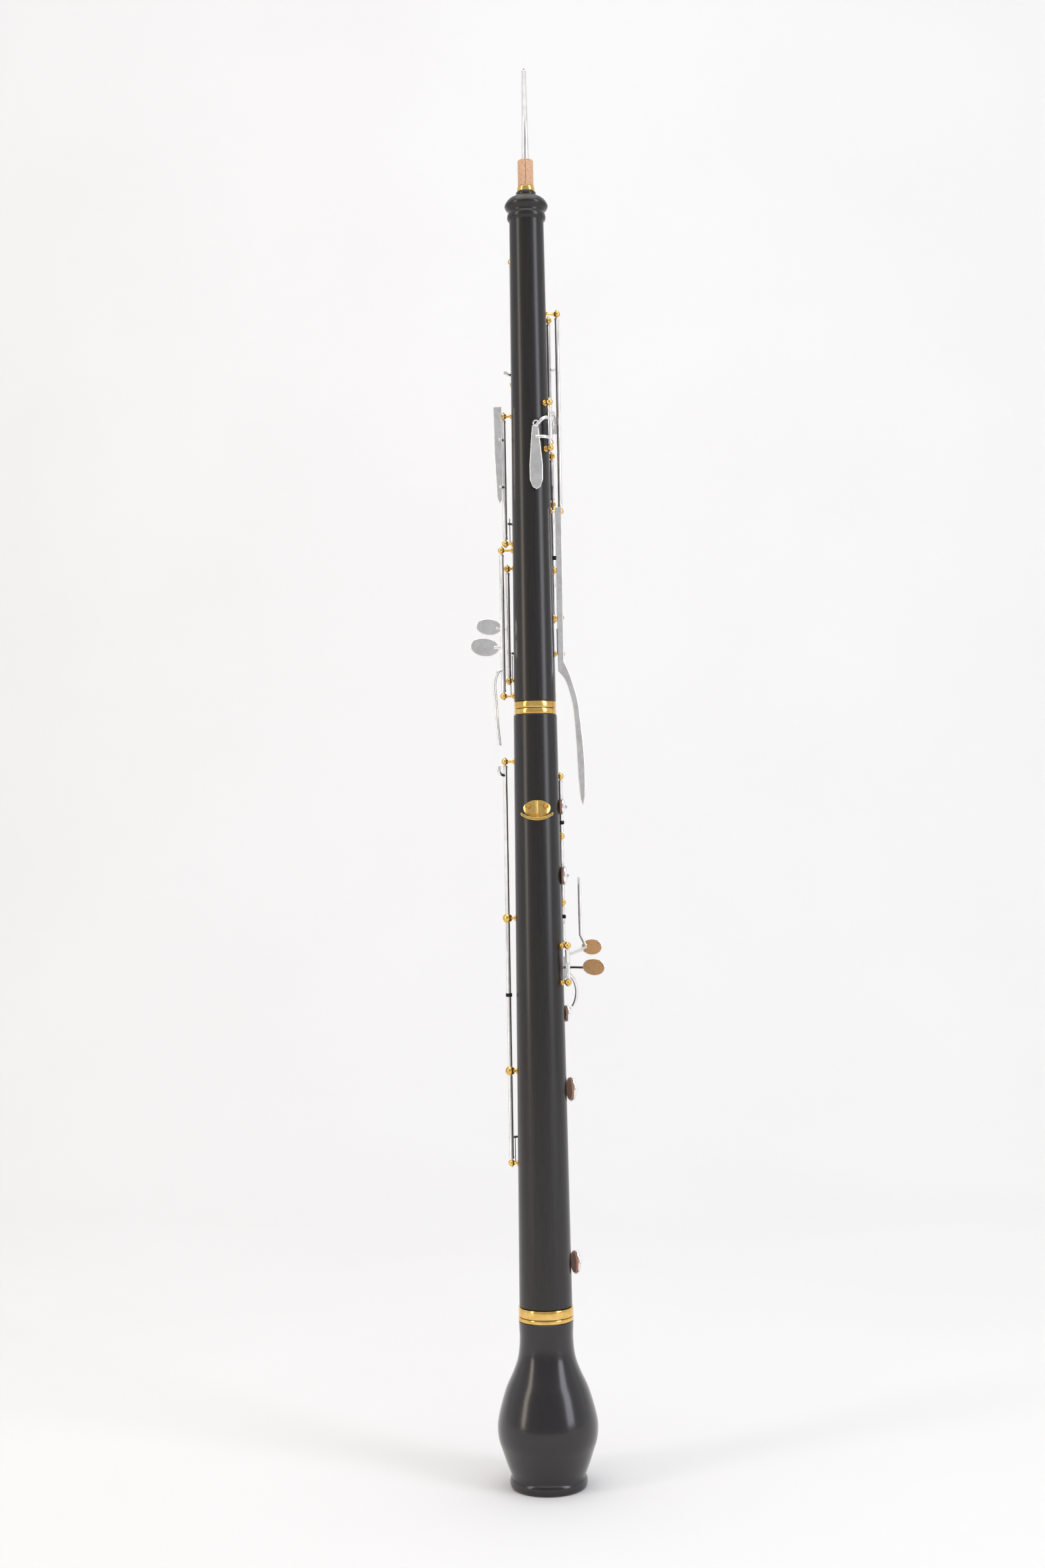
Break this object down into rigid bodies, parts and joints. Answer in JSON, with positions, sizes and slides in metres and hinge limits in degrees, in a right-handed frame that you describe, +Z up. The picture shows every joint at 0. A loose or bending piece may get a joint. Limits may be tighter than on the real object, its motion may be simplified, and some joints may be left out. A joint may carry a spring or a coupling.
{
  "type": "english horn",
  "caption": "Double-reed alto woodwind with a bent crook, two wooden joints, a bulbed bell and sprung keywork, standing on its bell.",
  "frame": {"origin": "centre of the bell's rim on the floor, below the middle of the bounding box", "axes": "+Z up the bore, -Y the thumb side, +Y the key side, +X the player's right"},
  "size_m": [0.0808, 0.062, 0.8774],
  "materials": {
    "grenadilla": "oiled and polished",
    "gold_plate": "polished gold plate",
    "silver_plate": "polished silver plate",
    "pad_skin": "matt skin",
    "cork": "sanded cork"
  },
  "bodies": {
    "horn": {"upper_joint": "grenadilla", "lower_joint": "grenadilla", "bell": "grenadilla", "middle_socket_ring": "gold_plate", "middle_tenon_ring": "gold_plate", "bell_socket_ring": "gold_plate", "bell_tenon_ring": "gold_plate", "crook_socket_ring": "gold_plate", "middle_tenon_cork": "cork", "bell_tenon_cork": "cork", "crook_cork": "cork", "crook_tube": "silver_plate", "thumb_rest": "gold_plate", "thumb_rest_screw_left": "gold_plate", "thumb_rest_screw_right": "gold_plate"},
    "thumb_octave_key": {"thumb_octave_key": "silver_plate", "thumb_octave_key_pad": "pad_skin"},
    "side_octave_key": {"side_octave_key": "silver_plate", "side_octave_key_pad": "pad_skin"},
    "octave_vent_key": {"octave_vent_key": "silver_plate", "octave_vent_key_pad": "pad_skin"},
    "upper_trill_key": {"upper_trill_key": "silver_plate", "upper_trill_key_pad": "pad_skin"},
    "lower_trill_key": {"lower_trill_key": "silver_plate", "lower_trill_key_pad": "pad_skin"},
    "side_trill_lever": {"side_trill_lever": "silver_plate"},
    "left_index_key": {"left_index_key": "silver_plate", "left_index_key_pad": "pad_skin"},
    "left_middle_key": {"left_middle_key": "silver_plate", "left_middle_key_pad": "pad_skin"},
    "left_ring_key": {"left_ring_key": "silver_plate", "left_ring_key_pad": "pad_skin"},
    "g_sharp_key": {"g_sharp_key": "silver_plate", "g_sharp_key_pad": "pad_skin"},
    "low_b_lever": {"low_b_lever": "silver_plate"},
    "low_b_rod": {"low_b_rod": "silver_plate"},
    "low_b_key": {"low_b_key": "silver_plate", "low_b_key_pad": "pad_skin"},
    "right_index_key": {"right_index_key": "silver_plate", "right_index_key_pad": "pad_skin", "right_index_key_vent_pad": "pad_skin"},
    "right_middle_key": {"right_middle_key": "silver_plate", "right_middle_key_pad": "pad_skin", "right_middle_key_vent_pad": "pad_skin"},
    "right_ring_key": {"right_ring_key": "silver_plate", "right_ring_key_pad": "pad_skin"},
    "e_flat_key": {"e_flat_key": "silver_plate", "e_flat_key_pad": "pad_skin"},
    "low_c_key": {"low_c_key": "silver_plate", "low_c_key_pad": "pad_skin"}
  },
  "joints": [
    {"name": "thumb_octave_turn", "type": "hinge", "parent": "horn", "child": "thumb_octave_key", "pos_m": [0.01236, -0.01037, 0.656], "axis": [0, 0, 1], "range_deg": [-6, 0], "stiffness_Nm_per_rad": 0.02, "springref_deg": 17.19},
    {"name": "side_octave_turn", "type": "hinge", "parent": "horn", "child": "side_octave_key", "pos_m": [-0.01688, 0.00359, 0.625], "axis": [0, 0, 1], "range_deg": [0, 7], "stiffness_Nm_per_rad": 0.02, "springref_deg": -17.19},
    {"name": "octave_vent_turn", "type": "hinge", "parent": "horn", "child": "octave_vent_key", "pos_m": [-0.01021, 0.01217, 0.727], "axis": [0, 0, 1], "range_deg": [0, 7], "stiffness_Nm_per_rad": 0.02, "springref_deg": -17.19},
    {"name": "upper_trill_turn", "type": "hinge", "parent": "horn", "child": "upper_trill_key", "pos_m": [0.01274, 0.00996, 0.689], "axis": [0, 0, 1], "range_deg": [-6, 0], "stiffness_Nm_per_rad": 0.02, "springref_deg": 17.19},
    {"name": "lower_trill_turn", "type": "hinge", "parent": "horn", "child": "lower_trill_key", "pos_m": [0.01817, 0.0059, 0.668], "axis": [0, 0, 1], "range_deg": [-5, 0], "stiffness_Nm_per_rad": 0.02, "springref_deg": 17.19},
    {"name": "side_trill_turn", "type": "hinge", "parent": "horn", "child": "side_trill_lever", "pos_m": [0.01718, 0.0026, 0.525], "axis": [0, 0, 1], "range_deg": [-5, 0], "stiffness_Nm_per_rad": 0.02, "springref_deg": 17.19},
    {"name": "left_index_turn", "type": "hinge", "parent": "horn", "child": "left_index_key", "pos_m": [0.01332, 0.01041, 0.625], "axis": [0, 0, 1], "range_deg": [0, 7.5], "stiffness_Nm_per_rad": 0.02, "springref_deg": -17.19},
    {"name": "left_middle_turn", "type": "hinge", "parent": "horn", "child": "left_middle_key", "pos_m": [0.01332, 0.01041, 0.589], "axis": [0, 0, 1], "range_deg": [0, 7.5], "stiffness_Nm_per_rad": 0.02, "springref_deg": -17.19},
    {"name": "left_ring_turn", "type": "hinge", "parent": "horn", "child": "left_ring_key", "pos_m": [0.01332, 0.01041, 0.552], "axis": [0, 0, 1], "range_deg": [0, 7.5], "stiffness_Nm_per_rad": 0.02, "springref_deg": -17.19},
    {"name": "g_sharp_turn", "type": "hinge", "parent": "horn", "child": "g_sharp_key", "pos_m": [-0.01604, 0.00648, 0.533], "axis": [0, 0, 1], "range_deg": [0, 5], "stiffness_Nm_per_rad": 0.02, "springref_deg": -17.19},
    {"name": "low_b_lever_turn", "type": "hinge", "parent": "horn", "child": "low_b_lever", "pos_m": [-0.01956, 0.00206, 0.534], "axis": [0, 0, 1], "range_deg": [0, 5], "stiffness_Nm_per_rad": 0.02, "springref_deg": -17.19},
    {"name": "low_b_rod_turn", "type": "hinge", "parent": "horn", "child": "low_b_rod", "pos_m": [-0.01955, 0.00415, 0.322], "axis": [0, 0, 1], "range_deg": [0, 3.5], "stiffness_Nm_per_rad": 0.02, "springref_deg": -17.19},
    {"name": "low_b_turn", "type": "hinge", "parent": "horn", "child": "low_b_key", "pos_m": [0.00967, 0.01819, 0.162], "axis": [0, 0, 1], "range_deg": [-7, 0], "stiffness_Nm_per_rad": 0.02, "springref_deg": 17.19},
    {"name": "right_index_turn", "type": "hinge", "parent": "horn", "child": "right_index_key", "pos_m": [0.01505, 0.01134, 0.418], "axis": [0, 0, 1], "range_deg": [0, 6.8], "stiffness_Nm_per_rad": 0.02, "springref_deg": -17.19},
    {"name": "right_middle_turn", "type": "hinge", "parent": "horn", "child": "right_middle_key", "pos_m": [0.01505, 0.01134, 0.379], "axis": [0, 0, 1], "range_deg": [0, 6.8], "stiffness_Nm_per_rad": 0.02, "springref_deg": -17.19},
    {"name": "right_ring_turn", "type": "hinge", "parent": "horn", "child": "right_ring_key", "pos_m": [0.01505, 0.01134, 0.345], "axis": [0, 0, 1], "range_deg": [0, 6.8], "stiffness_Nm_per_rad": 0.02, "springref_deg": -17.19},
    {"name": "e_flat_turn", "type": "hinge", "parent": "horn", "child": "e_flat_key", "pos_m": [0.01733, -0.00808, 0.32], "axis": [0, 0, 1], "range_deg": [-6, 0], "stiffness_Nm_per_rad": 0.02, "springref_deg": 17.19},
    {"name": "low_c_turn", "type": "hinge", "parent": "horn", "child": "low_c_key", "pos_m": [0.00929, 0.01748, 0.274], "axis": [0, 0, 1], "range_deg": [-7, 0], "stiffness_Nm_per_rad": 0.02, "springref_deg": 17.19}
  ],
  "couplings": [
    {"joint": "octave_vent_turn", "follows": "side_octave_turn", "ratio": 1},
    {"joint": "lower_trill_turn", "follows": "side_trill_turn", "ratio": 1},
    {"joint": "low_b_rod_turn", "follows": "low_b_lever_turn", "ratio": 0.7},
    {"joint": "low_b_turn", "follows": "low_b_lever_turn", "ratio": -1.4}
  ]
}
